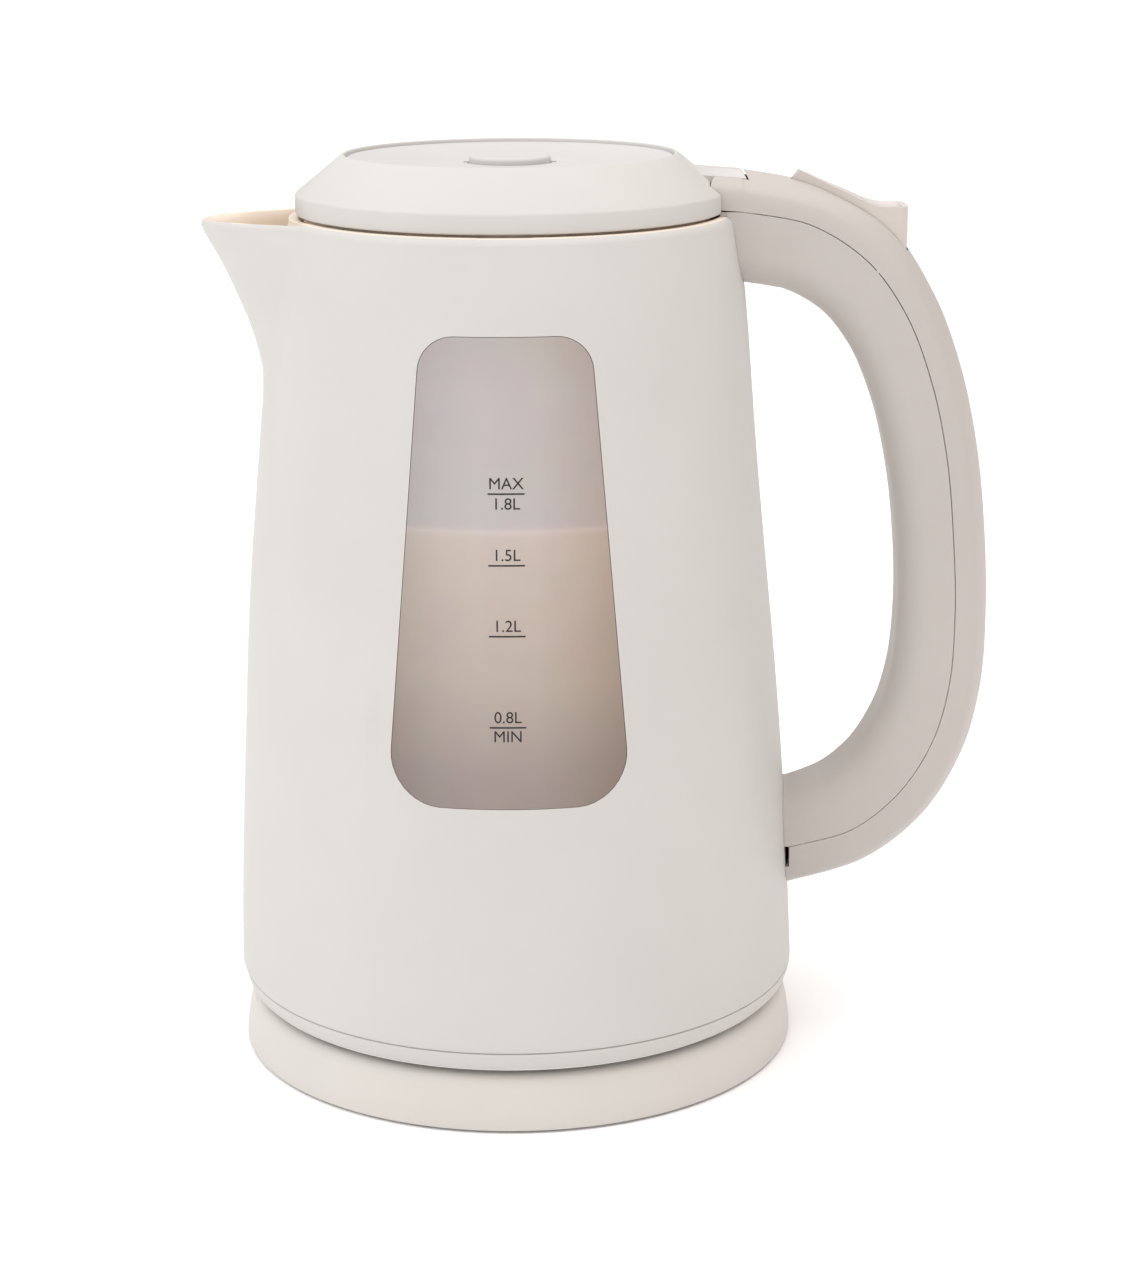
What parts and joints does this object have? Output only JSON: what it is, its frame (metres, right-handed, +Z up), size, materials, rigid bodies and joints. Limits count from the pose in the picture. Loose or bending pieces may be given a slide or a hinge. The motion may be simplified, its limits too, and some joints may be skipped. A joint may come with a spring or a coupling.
{
  "type": "electric kettle",
  "caption": "Cordless electric jug kettle with open spout, side water gauge, hinged latching lid, C-shaped handle with rocker switch, and round power base.",
  "frame": {"origin": "centre of the power base in the plane that it stands on", "axes": "+Z up, +X towards the handle, -X towards the spout, -Y towards the water gauge"},
  "size_m": [0.2261, 0.1649, 0.262],
  "materials": {
    "cream_plastic": "fine satin, moulded",
    "lid_dish_plastic": "fine satin, moulded",
    "frosted_gauge": "frosted translucent plastic",
    "clear_lens": "smooth, translucent",
    "tan_plastic": "moulded",
    "black_plastic": "moulded",
    "white_plastic": "moulded",
    "silicone": "soft, matt",
    "stainless": "brushed",
    "aluminium": "cast",
    "screw_steel": "plated",
    "brass": "stamped",
    "lamp_amber": "clear",
    "wire_red": "silicone sleeve"
  },
  "bodies": {
    "base": {"base_top": "cream_plastic", "base_bottom": "cream_plastic", "base_foot": "silicone", "base_screws": "screw_steel", "base_connector": "black_plastic", "base_contacts": "brass", "cord_gland": "black_plastic"},
    "shutter": {"shutter_ring": "black_plastic"},
    "jug": {"body_shell": "cream_plastic", "gauge_window": "frosted_gauge", "bottom_cover": "cream_plastic", "bottom_screws": "screw_steel", "jug_socket": "black_plastic", "socket_contacts": "brass", "control_unit": "black_plastic", "control_screws": "screw_steel", "dry_boil_discs": "screw_steel", "heating_plate": "stainless", "plate_seal": "silicone", "heat_diffuser": "aluminium", "heater_tube": "aluminium", "heater_leads": "wire_red", "clamp_ring": "stainless", "clamp_screws": "screw_steel", "spout_filter": "tan_plastic", "handle_grip": "cream_plastic", "handle_cover": "cream_plastic", "handle_screws": "screw_steel", "switch_frame": "black_plastic", "steam_disc": "screw_steel", "switch_contacts": "brass", "lamp": "lamp_amber", "lead_wires": "wire_red", "hinge_pin": "screw_steel", "hinge_spring": "screw_steel"},
    "lid": {"lid_shell": "cream_plastic", "lid_disc": "lid_dish_plastic", "lid_inner": "cream_plastic", "lid_seal": "silicone", "lid_screws": "screw_steel"},
    "button": {"lid_button": "cream_plastic", "button_spring": "screw_steel"},
    "latch_front": {"latch_front": "white_plastic"},
    "latch_rear": {"latch_rear": "white_plastic"},
    "paddle": {"power_paddle": "cream_plastic", "paddle_lens": "clear_lens"},
    "trip_lever": {"trip_lever": "white_plastic"}
  },
  "joints": [
    {"name": "jug_swivel", "type": "hinge", "parent": "base", "child": "shutter", "pos_m": [0, 0, 0], "axis": [0, 0, 1], "continuous": true},
    {"name": "jug_lift", "type": "slide", "parent": "shutter", "child": "jug", "axis": [0, 0, 1], "range_m": [0, 0.1]},
    {"name": "lid_open", "type": "hinge", "parent": "jug", "child": "lid", "pos_m": [0.0606, 0, 0.2524], "axis": [0, 1, 0], "range_deg": [0, 80]},
    {"name": "button_press", "type": "slide", "parent": "lid", "child": "button", "axis": [0, 0, -1], "range_m": [0, 0.0025], "stiffness_N_per_m": 200, "springref_m": -0.002, "deforming": ["button_spring"]},
    {"name": "latch_front_draw", "type": "slide", "parent": "lid", "child": "latch_front", "axis": [0, 1, 0], "range_m": [0, 0.0025]},
    {"name": "latch_rear_draw", "type": "slide", "parent": "lid", "child": "latch_rear", "axis": [0, -1, 0], "range_m": [0, 0.0025]},
    {"name": "power_switch", "type": "hinge", "parent": "jug", "child": "paddle", "pos_m": [0.088, 0, 0.2446], "axis": [0, 1, 0], "range_deg": [0, 10]},
    {"name": "trip", "type": "hinge", "parent": "jug", "child": "trip_lever", "pos_m": [0.088, 0, 0.2336], "axis": [0, 1, 0], "range_deg": [-10, 0]}
  ],
  "couplings": [
    {"joint": "latch_front_draw", "follows": "button_press", "ratio": 1},
    {"joint": "latch_rear_draw", "follows": "button_press", "ratio": 1},
    {"joint": "trip", "follows": "power_switch", "ratio": -1}
  ]
}
